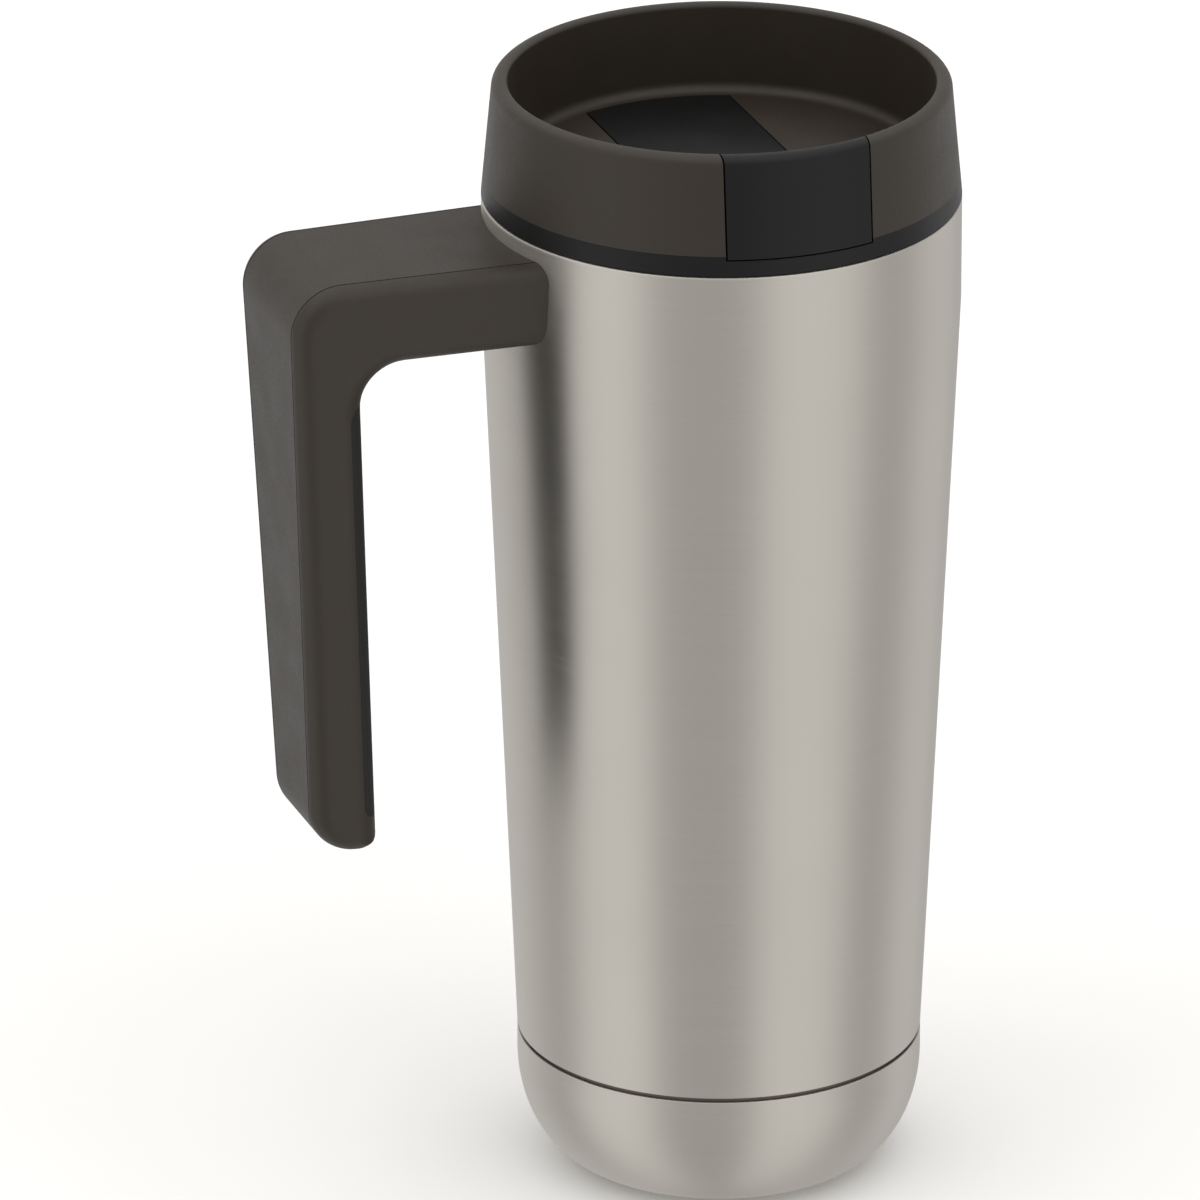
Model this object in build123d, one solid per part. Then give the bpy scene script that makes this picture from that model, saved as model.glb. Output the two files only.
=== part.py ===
"""Insulated travel mug with an open handle and a screw-on lid with a flip lever.

Millimetres, +Z up. The origin is the centre of the base, on the mug's axis.
The handle is toward -X and the drinking side of the lid is toward -Y.
"""

import os
from math import cos, radians, sin, sqrt, tan

from build123d import *

# ---------------------------------------------------------------- steel body
LIP_Z = 181.7  # height of the steel mouth
BODY_RADIUS = 42.0  # outside of the straight stretch behind the handle's arm
GROOVE_Z = 24.0  # middle of the groove above the base cap
GROOVE_RADIUS = 35.95  # outside of the body at the groove
STEEL_WALL = 0.5
LIP_WIDTH = 3.6  # from the outside of the mouth to the inside of the neck
LIP_ROUND = 0.4
GROOVE_WIDTH = 0.8
CAP_FIT = 0.1  # radial play between the body's spigot and the base cap
CAP_ROUND_WIDTH = 13.0  # how far in the bottom curve reaches
CAP_ROUND_HEIGHT = 19.5  # how far up the bottom curve reaches
SPIGOT_STANDOFF = 0.5  # the spigot ends this far above the bottom curve
WELD_LAP = 1.2  # overlap of the closure inside the spigot
FOOT_GROOVE_INSET = 3.4  # from the foot's edge to the fine groove in the base
FOOT_GROOVE_WIDTH = 1.6
FOOT_GROOVE_DEPTH = 0.3
VACUUM_BASE_GAP = 1.2  # between the base cap and the closure above it
VACUUM_GAP = 4.6  # between the two walls
VESSEL_FLOOR_Z = 11.0
VESSEL_FLOOR_ROUND = 12.0
NECK_DEPTH = 12.7  # from the mouth down to the sealing cone
SHOULDER_HEIGHT = 3.0  # height of the sealing cone
FOIL_THICKNESS = 0.15
FOIL_STANDOFF = 0.1
FOIL_END_MARGIN = 3.0  # left bare at each end of the taper
EVACUATION_RADIUS = 1.5
EVACUATION_FLANGE_RADIUS = 3.0
EVACUATION_FLANGE_THICKNESS = 0.5
GETTER_RADIUS = 4.0
GETTER_THICKNESS = 1.6
GETTER_OFFSET = 8.0  # from the mug's axis
GETTER_CLIP_THICKNESS = 0.3
GETTER_CLIP_LENGTH = 18.0
GETTER_CLIP_WIDTH = 5.0

# ---------------------------------------------------------------- thread
THREAD_STARTS = 2
THREAD_LEAD = 10.0  # rise in one full turn
THREAD_SPAN = 200.0  # degrees covered by each ridge
THREAD_HEIGHT = 1.2  # how far a ridge stands off its wall
THREAD_ROOT = 0.3  # how far a ridge is sunk in its wall
NECK_RIDGE_WIDTH = 1.8
LID_RIDGE_WIDTH = 2.0
RIDGE_TAPER = 0.3  # each flank leans in by this much
RIDGE_MARGIN = 0.2  # from the plug's step to the lowest ridge
THREAD_CLEARANCE = 0.4  # radial, ridge tip to the wall opposite
THREAD_START_ANGLE = 35.0

# ---------------------------------------------------------------- lid
LID_GAP = 0.3  # shadow line between the steel and the lid
BAND_HEIGHT = 3.5
DECK_THICKNESS = 2.7
RING_HEIGHT = 17.5
RING_LEAN = 1.95  # the lid's outside leans in by this much from band to rim
RING_WALL = 2.75  # at the rim
RIM_OUTER_ROUND = 1.7
RIM_INNER_ROUND = 0.8
FLOOR_THICKNESS = 1.8
FLOOR_ROUND = 2.0
BAND_LEDGE = 1.2  # width of the band's rim that locates the ring
LOCATING_CLEARANCE = 0.1
PLUG_WALL = 1.8
LINER_CLEARANCE = 0.3  # radial, to the vessel at the foot of the cone
LINER_THICKNESS = 1.25
LINER_COLLAR_HEIGHT = 3.0
LINER_COLLAR_WALL = 1.2
GASKET_SEAT = 0.9  # how far the liner stands out under the gasket
GASKET_HEIGHT = 2.1
GASKET_CLEARANCE = 0.15

# ---------------------------------------------------------------- lever
LEVER_WIDTH = 26.4
LEVER_GAP = 0.3
LEVER_OPEN_ANGLE = 120.0
HINGE_Y = -4.2
KNUCKLE_CLEARANCE = 0.3
PIN_RADIUS = 1.0
PIN_COVER = 0.1  # from the pin to the recess floor that traps it
PIN_SEAT = 3.0  # length of each end of the pin in its saddle
PIN_CLEARANCE = 0.1
SADDLE_CLEARANCE = 0.05
SADDLE_WALL = 2.0
ARM_THICKNESS = 1.6
RAMP_START_Y = -24.5
RAMP_DROP = 4.0  # from the rim down to the top of the ramp
PANEL_THICKNESS = 1.25
PANEL_FOOT_GAP = 0.25
SIP_WALL = 1.2
SIP_CLEARANCE = 0.5  # over the sip wall
RAMP_CLEARANCE = 0.1  # least height from the sip wall's corners to the lever's ramp
SWING_CLEARANCE = 0.4  # between the sip wall and the panel's foot as it swings past

# ---------------------------------------------------------------- drink hole and vent
DRINK_HOLE_LENGTH = 16.0  # along X
DRINK_HOLE_WIDTH = 7.0  # along Y
DRINK_HOLE_Y = -30.0
VENT_RADIUS = 1.4
VENT_Y = -11.0
DUCT_WALL = 1.4
SEAL_CLEARANCE = 0.25
SEAL_FLANGE = 1.0
SEAL_FLANGE_THICKNESS = 1.2
SEAL_DEPTH = 1.2
SEAL_STEM = 0.8

# ---------------------------------------------------------------- handle
ARM_DROP = 2.8  # from the steel mouth down to the arm
ARM_HEIGHT = 16.0
GRIP_REACH = 41.6  # from the mug to the grip's outer face, just under the bend
GRIP_LENGTH = 108.0  # from the arm's top to the tip
GRIP_THICKNESS = 12.5
GRIP_LEAN = 2.5  # degrees, toward the mug going down
OUTER_BEND_RADIUS = 9.0
INNER_BEND_RADIUS = 7.5
TIP_HEEL_RADIUS = 8.5
TIP_TOE_RADIUS = 3.7
HANDLE_HALF_WIDTH = 16.2  # at the outer bend
WIDTH_GROWTH_INWARD = 0.026  # half width gained per mm toward the mug
WIDTH_GROWTH_UPWARD = 0.048  # half width gained per mm of height
SHOULDER = 3.3  # side wall beside the cover, and its rounding
INNER_ROUNDING = 5.5  # edges of the arm's underside and the grip's inner face
HANDLE_WALL = 2.2
SEAM_GAP = 0.25
COVER_THICKNESS = 2.2
COVER_LEDGE = 1.0
COVER_TOE = 5.4  # the cover ends this far short of the grip's inner face
PAD_SINK = 3.0
PAD_FIT = 0.05  # all round the pad in its pocket
PAD_CORNER = 2.8
PAD_TOP_MARGIN = 7.0  # below the arm's underside
PAD_BOTTOM_MARGIN = 6.0  # above the tip
WEB_REACH = 11.5  # from the mug to the far face of the arm's inner web
WEB_THICKNESS = 3.0
BRACKET_THICKNESS = 1.5
BRACKET_PLAY = 0.3  # over and under the bracket
BRACKET_SIDE_PLAY = 1.4
SCREW_RADIUS = 2.0
SCREW_CLEARANCE = 0.3
SCREW_HEAD_RADIUS = 3.8
SCREW_HEAD_HEIGHT = 2.6
SCREW_LENGTH = 10.0
NUT_SIZE = 7.0
NUT_THICKNESS = 3.2
NUT_SIDE_PLAY = 0.5

# ---------------------------------------------------------------- derived places
NECK_RADIUS = BODY_RADIUS - LIP_WIDTH
NECK_BOTTOM_Z = LIP_Z - NECK_DEPTH
SHOULDER_Z = NECK_BOTTOM_Z - SHOULDER_HEIGHT
ARM_TOP_Z = LIP_Z - ARM_DROP
ARM_UNDERSIDE_Z = ARM_TOP_Z - ARM_HEIGHT
TAPER_TOP_Z = ARM_UNDERSIDE_Z
CAP_TOP_Z = GROOVE_Z - GROOVE_WIDTH / 2
BODY_BOTTOM_Z = GROOVE_Z + GROOVE_WIDTH / 2
SPIGOT_RADIUS = GROOVE_RADIUS - STEEL_WALL - CAP_FIT
SPIGOT_BOTTOM_Z = CAP_ROUND_HEIGHT + SPIGOT_STANDOFF
FOOT_RADIUS = GROOVE_RADIUS - CAP_ROUND_WIDTH
VESSEL_SHOULDER_RADIUS = BODY_RADIUS - 2 * STEEL_WALL - VACUUM_GAP
BAND_BOTTOM_Z = LIP_Z + LID_GAP
RING_BOTTOM_Z = BAND_BOTTOM_Z + BAND_HEIGHT
LID_TOP_Z = RING_BOTTOM_Z + RING_HEIGHT
RING_TOP_RADIUS = BODY_RADIUS - RING_LEAN
RING_INNER_RADIUS = RING_TOP_RADIUS - RING_WALL
DECK_TOP_Z = BAND_BOTTOM_Z + DECK_THICKNESS
FLOOR_TOP_Z = DECK_TOP_Z + FLOOR_THICKNESS
PLUG_RADIUS = NECK_RADIUS - THREAD_HEIGHT - THREAD_CLEARANCE
PLUG_STEP_Z = NECK_BOTTOM_Z
LINER_RADIUS = VESSEL_SHOULDER_RADIUS - LINER_CLEARANCE
LINER_TOP_Z = PLUG_STEP_Z - GASKET_HEIGHT - 2 * GASKET_CLEARANCE
LINER_BOTTOM_Z = LINER_TOP_Z - LINER_THICKNESS
PLUG_SPIGOT_RADIUS = LINER_RADIUS - GASKET_SEAT
PLUG_SPIGOT_INSIDE = PLUG_SPIGOT_RADIUS - PLUG_WALL
LID_RIDGE_START_Z = PLUG_STEP_Z + LID_RIDGE_WIDTH / 2 + RIDGE_MARGIN
NECK_RIDGE_START_Z = LID_RIDGE_START_Z + THREAD_LEAD / THREAD_STARTS / 2
HINGE_Z = DECK_TOP_Z - PIN_COVER - PIN_RADIUS
KNUCKLE_RADIUS = FLOOR_TOP_Z - HINGE_Z
POCKET_RADIUS = KNUCKLE_RADIUS + KNUCKLE_CLEARANCE
SLOT_HALF_WIDTH = LEVER_WIDTH / 2 + LEVER_GAP
PIN_HALF_LENGTH = SLOT_HALF_WIDTH + PIN_SEAT
PANEL_FOOT_Z = DECK_TOP_Z + PANEL_FOOT_GAP
SEAL_TOP_Z = DECK_TOP_Z + SEAL_CLEARANCE + SEAL_FLANGE_THICKNESS
SIP_RADIUS = RING_INNER_RADIUS + SIP_WALL
RAMP_TOP_Z = LID_TOP_Z - RAMP_DROP
GRIP_REFERENCE_Z = ARM_TOP_Z - OUTER_BEND_RADIUS
TIP_Z = ARM_TOP_Z - GRIP_LENGTH
PAD_TOP_Z = ARM_UNDERSIDE_Z - PAD_TOP_MARGIN
PAD_BOTTOM_Z = TIP_Z + PAD_BOTTOM_MARGIN
HOLLOW_BOTTOM_Z = ARM_UNDERSIDE_Z + HANDLE_WALL
HOLLOW_TOP_Z = ARM_TOP_Z - COVER_THICKNESS
HOLLOW_MIDDLE_Z = (HOLLOW_BOTTOM_Z + HOLLOW_TOP_Z) / 2
WEB_X = -BODY_RADIUS - WEB_REACH
BRACKET_X = WEB_X + WEB_THICKNESS
REACH = 2 * BODY_RADIUS + GRIP_REACH  # longer than anything that it has to cut
OVERCUT = 1.0  # how far a cutting piece runs past the face it opens


def export(shape, node):
    """Write one sub-part."""
    shape.label = node
    export_step(shape, f"parts/{node}.step")


def turned(points):
    """Solid turned about the mug's axis from (radius, height) points."""
    return revolve(Plane.XZ * make_face(Polyline(*points, close=True)), Axis.Z)


def disc(radius, bottom, top):
    """Solid disc on the mug's axis."""
    return Pos(0, 0, bottom) * extrude(Circle(radius), top - bottom)


def block(low, high):
    """Box between two opposite corners."""
    size = [b - a for a, b in zip(low, high)]
    middle = [(a + b) / 2 for a, b in zip(low, high)]
    return Pos(*middle) * Box(*size)


def body_radius_at(z):
    """Outside radius of the tapered body at a height."""
    share = (z - GROOVE_Z) / (TAPER_TOP_Z - GROOVE_Z)
    return GROOVE_RADIUS + (BODY_RADIUS - GROOVE_RADIUS) * min(share, 1.0)


def lid_radius_at(z):
    """Outside radius of the tapered lid at a height."""
    share = (z - BAND_BOTTOM_Z) / (LID_TOP_Z - BAND_BOTTOM_Z)
    return BODY_RADIUS + (RING_TOP_RADIUS - BODY_RADIUS) * share


# ---------------------------------------------------------------- steel body


def make_outer_shell():
    """Tapered outer wall with a rolled-in lip above and a spigot below."""
    wall = STEEL_WALL
    neck_outside = NECK_RADIUS + wall
    shoulder_radius = body_radius_at(BODY_BOTTOM_Z)
    outline = [
        (SPIGOT_RADIUS, SPIGOT_BOTTOM_Z),
        (SPIGOT_RADIUS, BODY_BOTTOM_Z),
        (shoulder_radius, BODY_BOTTOM_Z),
        (BODY_RADIUS, TAPER_TOP_Z),
        (BODY_RADIUS, LIP_Z),
        (neck_outside, LIP_Z),
        (neck_outside, LIP_Z - wall),
        (BODY_RADIUS - wall, LIP_Z - wall),
        (BODY_RADIUS - wall, TAPER_TOP_Z),
        (shoulder_radius - wall, BODY_BOTTOM_Z + wall),
        (SPIGOT_RADIUS - wall, BODY_BOTTOM_Z + wall),
        (SPIGOT_RADIUS - wall, SPIGOT_BOTTOM_Z),
    ]
    shell = turned(outline)
    lip_edge = shell.edges().group_by(Axis.Z)[-1].sort_by(SortBy.RADIUS)[-1]
    return fillet(lip_edge, LIP_ROUND)


def vessel_radius_at(z):
    """Inside radius of the inner vessel below its neck."""
    return body_radius_at(z) - 2 * STEEL_WALL - VACUUM_GAP


def vessel_outline(skin):
    """Half outline of the vessel's inside, grown outward by a skin."""
    floor_z = VESSEL_FLOOR_Z - skin
    points = [
        (0, floor_z),
        (vessel_radius_at(floor_z) + skin, floor_z),
        (vessel_radius_at(TAPER_TOP_Z) + skin, TAPER_TOP_Z),
        (VESSEL_SHOULDER_RADIUS + skin, SHOULDER_Z),
        (NECK_RADIUS + skin, NECK_BOTTOM_Z),
        (NECK_RADIUS + skin, LIP_Z),
        (0, LIP_Z),
    ]
    radii = [0, VESSEL_FLOOR_ROUND + skin, 0, 0, 0, 0, 0]
    return make_face(FilletPolyline(*points, radius=radii, close=True))


def make_inner_vessel():
    """Drawn cup that holds the drink, with the rolled thread in its neck."""
    wall = vessel_outline(STEEL_WALL) - vessel_outline(0)
    vessel = revolve(Plane.XZ * wall, Axis.Z)
    return vessel + thread_ridges(NECK_RADIUS, -1, NECK_RIDGE_WIDTH, NECK_RIDGE_START_Z)


def thread_ridges(wall_radius, side, width, start_z):
    """One helical ridge for each start; side is 1 outward or -1 inward of the wall."""
    rise = THREAD_LEAD * THREAD_SPAN / 360
    path = Helix(THREAD_LEAD, rise, wall_radius)
    half_root = width / 2
    half_tip = half_root - RIDGE_TAPER
    section = make_face(
        Polyline(
            (-side * THREAD_ROOT, -half_root),
            (-side * THREAD_ROOT, half_root),
            (side * THREAD_HEIGHT, half_tip),
            (side * THREAD_HEIGHT, -half_tip),
            close=True,
        )
    )
    start = Plane(origin=path @ 0, x_dir=(1, 0, 0), z_dir=path % 0)
    ridge = sweep(start * section, path=path, is_frenet=True)
    turns = [THREAD_START_ANGLE + 360 * i / THREAD_STARTS for i in range(THREAD_STARTS)]
    return [Pos(0, 0, start_z) * Rot(0, 0, turn) * ridge for turn in turns]


def cap_outline(radius, top_z, skin):
    """Half outline of a rounded cup on the foot, shrunk inward by a skin."""
    centre = (FOOT_RADIUS, CAP_ROUND_HEIGHT)
    across = radius - FOOT_RADIUS
    down = CAP_ROUND_HEIGHT - skin
    edges = [
        EllipticalCenterArc(centre, across, down, start_angle=270, arc_size=90),
        Line((radius, CAP_ROUND_HEIGHT), (radius, top_z)),
        Line((radius, top_z), (0, top_z)),
        Line((0, top_z), (0, skin)),
        Line((0, skin), (FOOT_RADIUS, skin)),
    ]
    return make_face(Curve() + edges)


def make_base_shell():
    """Rounded base cap that closes the mug below the groove."""
    outside = cap_outline(GROOVE_RADIUS, CAP_TOP_Z, 0)
    inside = cap_outline(GROOVE_RADIUS - STEEL_WALL, CAP_TOP_Z, STEEL_WALL)
    cap = revolve(Plane.XZ * (outside - inside), Axis.Z)
    groove_outer = FOOT_RADIUS - FOOT_GROOVE_INSET
    groove = disc(groove_outer, 0, FOOT_GROOVE_DEPTH)
    return cap - (groove - disc(groove_outer - FOOT_GROOVE_WIDTH, 0, FOOT_GROOVE_DEPTH))


def make_vacuum_base():
    """Dished closure welded inside the spigot, with the evacuation hole."""
    radius = SPIGOT_RADIUS - STEEL_WALL
    top_z = SPIGOT_BOTTOM_Z + WELD_LAP
    lower = STEEL_WALL + VACUUM_BASE_GAP
    outside = cap_outline(radius, top_z, lower)
    inside = cap_outline(radius - STEEL_WALL, top_z, lower + STEEL_WALL)
    dish = revolve(Plane.XZ * (outside - inside), Axis.Z)
    return dish - disc(EVACUATION_RADIUS, 0, VESSEL_FLOOR_Z)


def make_evacuation_plug():
    """Brazed stopper that seals the evacuation hole."""
    bottom = STEEL_WALL + VACUUM_BASE_GAP
    top = bottom + STEEL_WALL
    flange = disc(EVACUATION_FLANGE_RADIUS, top, top + EVACUATION_FLANGE_THICKNESS)
    return disc(EVACUATION_RADIUS, bottom, top) + flange


def make_reflective_foil():
    """Copper foil wrapped round the vessel inside the vacuum."""
    near = STEEL_WALL + FOIL_STANDOFF
    far = near + FOIL_THICKNESS
    low = BODY_BOTTOM_Z + FOIL_END_MARGIN
    high = TAPER_TOP_Z - FOIL_END_MARGIN
    return turned(
        [
            (vessel_radius_at(low) + near, low),
            (vessel_radius_at(low) + far, low),
            (vessel_radius_at(high) + far, high),
            (vessel_radius_at(high) + near, high),
        ]
    )


def make_getter_clip():
    """Thin strip spot-welded under the vessel that carries the getter."""
    top = VESSEL_FLOOR_Z - STEEL_WALL
    bottom = top - GETTER_CLIP_THICKNESS
    half_length = GETTER_CLIP_LENGTH / 2
    half_width = GETTER_CLIP_WIDTH / 2
    return block(
        (GETTER_OFFSET - half_length, -half_width, bottom),
        (GETTER_OFFSET + half_length, half_width, top),
    )


def make_getter_pellet():
    """Getter disc pressed on the clip, which keeps the vacuum."""
    top = VESSEL_FLOOR_Z - STEEL_WALL - GETTER_CLIP_THICKNESS
    return Pos(GETTER_OFFSET, 0, 0) * disc(GETTER_RADIUS, top - GETTER_THICKNESS, top)


# ---------------------------------------------------------------- lid


def slot_block(half_width, y_low, y_high, bottom, top):
    """Box across the lid's middle strip."""
    return block((-half_width, y_low, bottom), (half_width, y_high, top))


def strip_front_y():
    """Front edge of the fixed strip, clear of the lever when it is wide open."""
    swing = radians(LEVER_OPEN_ANGLE)
    return HINGE_Y + (POCKET_RADIUS - KNUCKLE_RADIUS * cos(swing)) / sin(swing)


def ramp_slope():
    """Rise of the lever's ramp for each millimetre toward the rim."""
    return (RAMP_TOP_Z - FLOOR_TOP_Z) / (RING_INNER_RADIUS + RAMP_START_Y)


def ramp_depth():
    """Upright depth of the lever's ramp."""
    return ARM_THICKNESS * sqrt(1 + ramp_slope() ** 2)


def sip_wall_top():
    """Highest that the sip wall can be under the ramp and inside the panel's swing."""
    foot_reach = lid_radius_at(PANEL_FOOT_Z) - PANEL_THICKNESS - SWING_CLEARANCE + HINGE_Y
    wall_reach = SIP_RADIUS + HINGE_Y
    swing_limit = HINGE_Z + sqrt(foot_reach**2 - wall_reach**2)
    corner_reach = sqrt(RING_INNER_RADIUS**2 - (LEVER_WIDTH / 2) ** 2)
    ramp_limit = FLOOR_TOP_Z + ramp_slope() * (RAMP_START_Y + corner_reach) - ramp_depth()
    return min(swing_limit, ramp_limit - RAMP_CLEARANCE)


def drink_hole(growth, bottom, top):
    """Rounded slot over the drink hole, grown all round."""
    length = DRINK_HOLE_LENGTH + 2 * growth
    width = DRINK_HOLE_WIDTH + 2 * growth
    return Pos(0, DRINK_HOLE_Y, bottom) * extrude(SlotOverall(length, width), top - bottom)


def vent_hole(radius, bottom, top):
    """Round post over the vent."""
    return Pos(0, VENT_Y, 0) * disc(radius, bottom, top)


def hinge_rod(radius, half_length):
    """Rod along the hinge axis."""
    return Pos(0, HINGE_Y, HINGE_Z) * Rot(0, 90, 0) * Cylinder(radius, 2 * half_length)


def make_lid_body():
    """Band, deck, threaded plug, sip wall, hinge saddle and the fixed strip."""
    ledge_radius = lid_radius_at(RING_BOTTOM_Z) - BAND_LEDGE
    body = turned(
        [
            (0, DECK_TOP_Z),
            (0, BAND_BOTTOM_Z),
            (BODY_RADIUS, BAND_BOTTOM_Z),
            (lid_radius_at(RING_BOTTOM_Z), RING_BOTTOM_Z),
            (ledge_radius, RING_BOTTOM_Z),
            (ledge_radius, DECK_TOP_Z),
        ]
    )
    body += turned(
        [
            (PLUG_RADIUS - PLUG_WALL, BAND_BOTTOM_Z),
            (PLUG_RADIUS, BAND_BOTTOM_Z),
            (PLUG_RADIUS, PLUG_STEP_Z),
            (PLUG_SPIGOT_RADIUS, PLUG_STEP_Z),
            (PLUG_SPIGOT_RADIUS, LINER_TOP_Z),
            (PLUG_SPIGOT_INSIDE, LINER_TOP_Z),
            (PLUG_SPIGOT_INSIDE, PLUG_STEP_Z + PLUG_WALL),
            (PLUG_RADIUS - PLUG_WALL, PLUG_STEP_Z + 2 * PLUG_WALL),
        ]
    )
    body += thread_ridges(PLUG_RADIUS, 1, LID_RIDGE_WIDTH, LID_RIDGE_START_Z)
    body += make_ducts()
    body += make_strip_and_sip_wall()
    body += slot_block(
        PIN_HALF_LENGTH + SADDLE_WALL,
        HINGE_Y - POCKET_RADIUS - SADDLE_WALL,
        strip_front_y() + SADDLE_WALL,
        HINGE_Z - POCKET_RADIUS - SADDLE_WALL,
        DECK_TOP_Z,
    )
    body -= drink_hole(0, LINER_TOP_Z - OVERCUT, LID_TOP_Z)
    body -= vent_hole(VENT_RADIUS, LINER_TOP_Z - OVERCUT, LID_TOP_Z)
    body -= make_hinge_pocket()
    body -= make_swing_room()
    notch = slot_block(SLOT_HALF_WIDTH, -REACH, HINGE_Y, DECK_TOP_Z, LID_TOP_Z)
    return body - (notch - disc(SIP_RADIUS, DECK_TOP_Z, LID_TOP_Z))


def make_ducts():
    """Walls of the drink duct and the vent duct, from the deck to the liner."""
    ducts = drink_hole(DUCT_WALL, LINER_TOP_Z, BAND_BOTTOM_Z)
    ducts &= disc(PLUG_RADIUS - PLUG_WALL, LINER_TOP_Z, BAND_BOTTOM_Z)
    ducts += vent_hole(VENT_RADIUS + DUCT_WALL, LINER_TOP_Z, BAND_BOTTOM_Z)
    seat = disc(PLUG_RADIUS, LINER_TOP_Z, PLUG_STEP_Z)
    return ducts - (seat - disc(PLUG_SPIGOT_INSIDE, LINER_TOP_Z, PLUG_STEP_Z))


def make_strip_and_sip_wall():
    """Fixed strip flush with the recess floor, and the wall that is drunk from."""
    half = LEVER_WIDTH / 2
    strip = slot_block(half, HINGE_Y, REACH, DECK_TOP_Z, FLOOR_TOP_Z)
    strip &= disc(RING_INNER_RADIUS - FLOOR_ROUND, DECK_TOP_Z, FLOOR_TOP_Z)
    top = sip_wall_top()
    wall = disc(SIP_RADIUS, DECK_TOP_Z, top)
    wall -= disc(RING_INNER_RADIUS, DECK_TOP_Z, top)
    return [strip, wall & slot_block(half, -REACH, HINGE_Y, DECK_TOP_Z, top)]


def make_swing_room():
    """Room behind the hinge for the lever's top face when it is wide open."""
    swing = radians(LEVER_OPEN_ANGLE)
    clear_plane = Plane(
        origin=(0, HINGE_Y + POCKET_RADIUS * sin(swing), HINGE_Z + POCKET_RADIUS * cos(swing)),
        z_dir=(0, sin(swing), cos(swing)),
    )
    low_z = HINGE_Z - KNUCKLE_RADIUS
    room = slot_block(SLOT_HALF_WIDTH, HINGE_Y, strip_front_y(), low_z, FLOOR_TOP_Z)
    return split(room, bisect_by=clear_plane, keep=Keep.BOTTOM)


def make_hinge_pocket():
    """Room for the knuckle, and the saddle that the pin lies in."""
    seat_radius = PIN_RADIUS + SADDLE_CLEARANCE
    seat_half = PIN_HALF_LENGTH + SADDLE_CLEARANCE
    pocket = hinge_rod(POCKET_RADIUS, SLOT_HALF_WIDTH) + hinge_rod(seat_radius, seat_half)
    for half, radius in ((SLOT_HALF_WIDTH, POCKET_RADIUS), (seat_half, seat_radius)):
        pocket += slot_block(half, HINGE_Y - radius, HINGE_Y + radius, HINGE_Z, DECK_TOP_Z)
    return pocket


def make_lid_ring():
    """Tapered ring round the deep recess, with its floor, slotted for the strip."""
    inner = RING_INNER_RADIUS
    ledge_radius = lid_radius_at(RING_BOTTOM_Z) - BAND_LEDGE - LOCATING_CLEARANCE
    points = [
        (0, DECK_TOP_Z),
        (ledge_radius, DECK_TOP_Z),
        (ledge_radius, RING_BOTTOM_Z),
        (lid_radius_at(RING_BOTTOM_Z), RING_BOTTOM_Z),
        (RING_TOP_RADIUS, LID_TOP_Z),
        (inner, LID_TOP_Z),
        (inner, FLOOR_TOP_Z),
        (0, FLOOR_TOP_Z),
    ]
    radii = [0, 0, 0, 0, RIM_OUTER_ROUND, RIM_INNER_ROUND, FLOOR_ROUND, 0]
    ring = revolve(Plane.XZ * make_face(FilletPolyline(*points, radius=radii, close=True)), Axis.Z)
    slot = slot_block(SLOT_HALF_WIDTH, -REACH, 0, DECK_TOP_Z, LID_TOP_Z)
    rear = slot_block(SLOT_HALF_WIDTH, 0, REACH, DECK_TOP_Z, LID_TOP_Z)
    rear &= disc(inner - FLOOR_ROUND + LEVER_GAP, DECK_TOP_Z, LID_TOP_Z)
    return ring - slot - rear


def make_lid_liner():
    """Disc that closes the plug's underside, with openings for the ducts."""
    collar_outside = PLUG_SPIGOT_INSIDE - LOCATING_CLEARANCE
    collar_inside = collar_outside - LINER_COLLAR_WALL
    liner = disc(LINER_RADIUS, LINER_BOTTOM_Z, LINER_TOP_Z)
    collar_top = LINER_TOP_Z + LINER_COLLAR_HEIGHT
    collar = disc(collar_outside, LINER_TOP_Z, collar_top)
    collar -= disc(collar_inside, LINER_TOP_Z, collar_top)
    collar -= drink_hole(DUCT_WALL + LOCATING_CLEARANCE, LINER_TOP_Z, collar_top)
    liner += collar
    liner -= drink_hole(0, LINER_BOTTOM_Z, LINER_TOP_Z)
    return liner - vent_hole(VENT_RADIUS, LINER_BOTTOM_Z, LINER_TOP_Z)


def make_lid_gasket():
    """Silicone ring that seals on the cone and passes the neck's ridges on its way in."""
    low = LINER_TOP_Z + GASKET_CLEARANCE
    high = low + GASKET_HEIGHT
    inner = PLUG_SPIGOT_RADIUS + GASKET_CLEARANCE
    slope = (NECK_RADIUS - VESSEL_SHOULDER_RADIUS) / SHOULDER_HEIGHT
    cone = [VESSEL_SHOULDER_RADIUS + slope * (z - SHOULDER_Z) for z in (low, high)]
    widest = NECK_RADIUS - THREAD_HEIGHT - GASKET_CLEARANCE
    outer = [min(radius - 2 * GASKET_CLEARANCE, widest) for radius in cone]
    return turned([(inner, low), (outer[0], low), (outer[1], high), (inner, high)])


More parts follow.
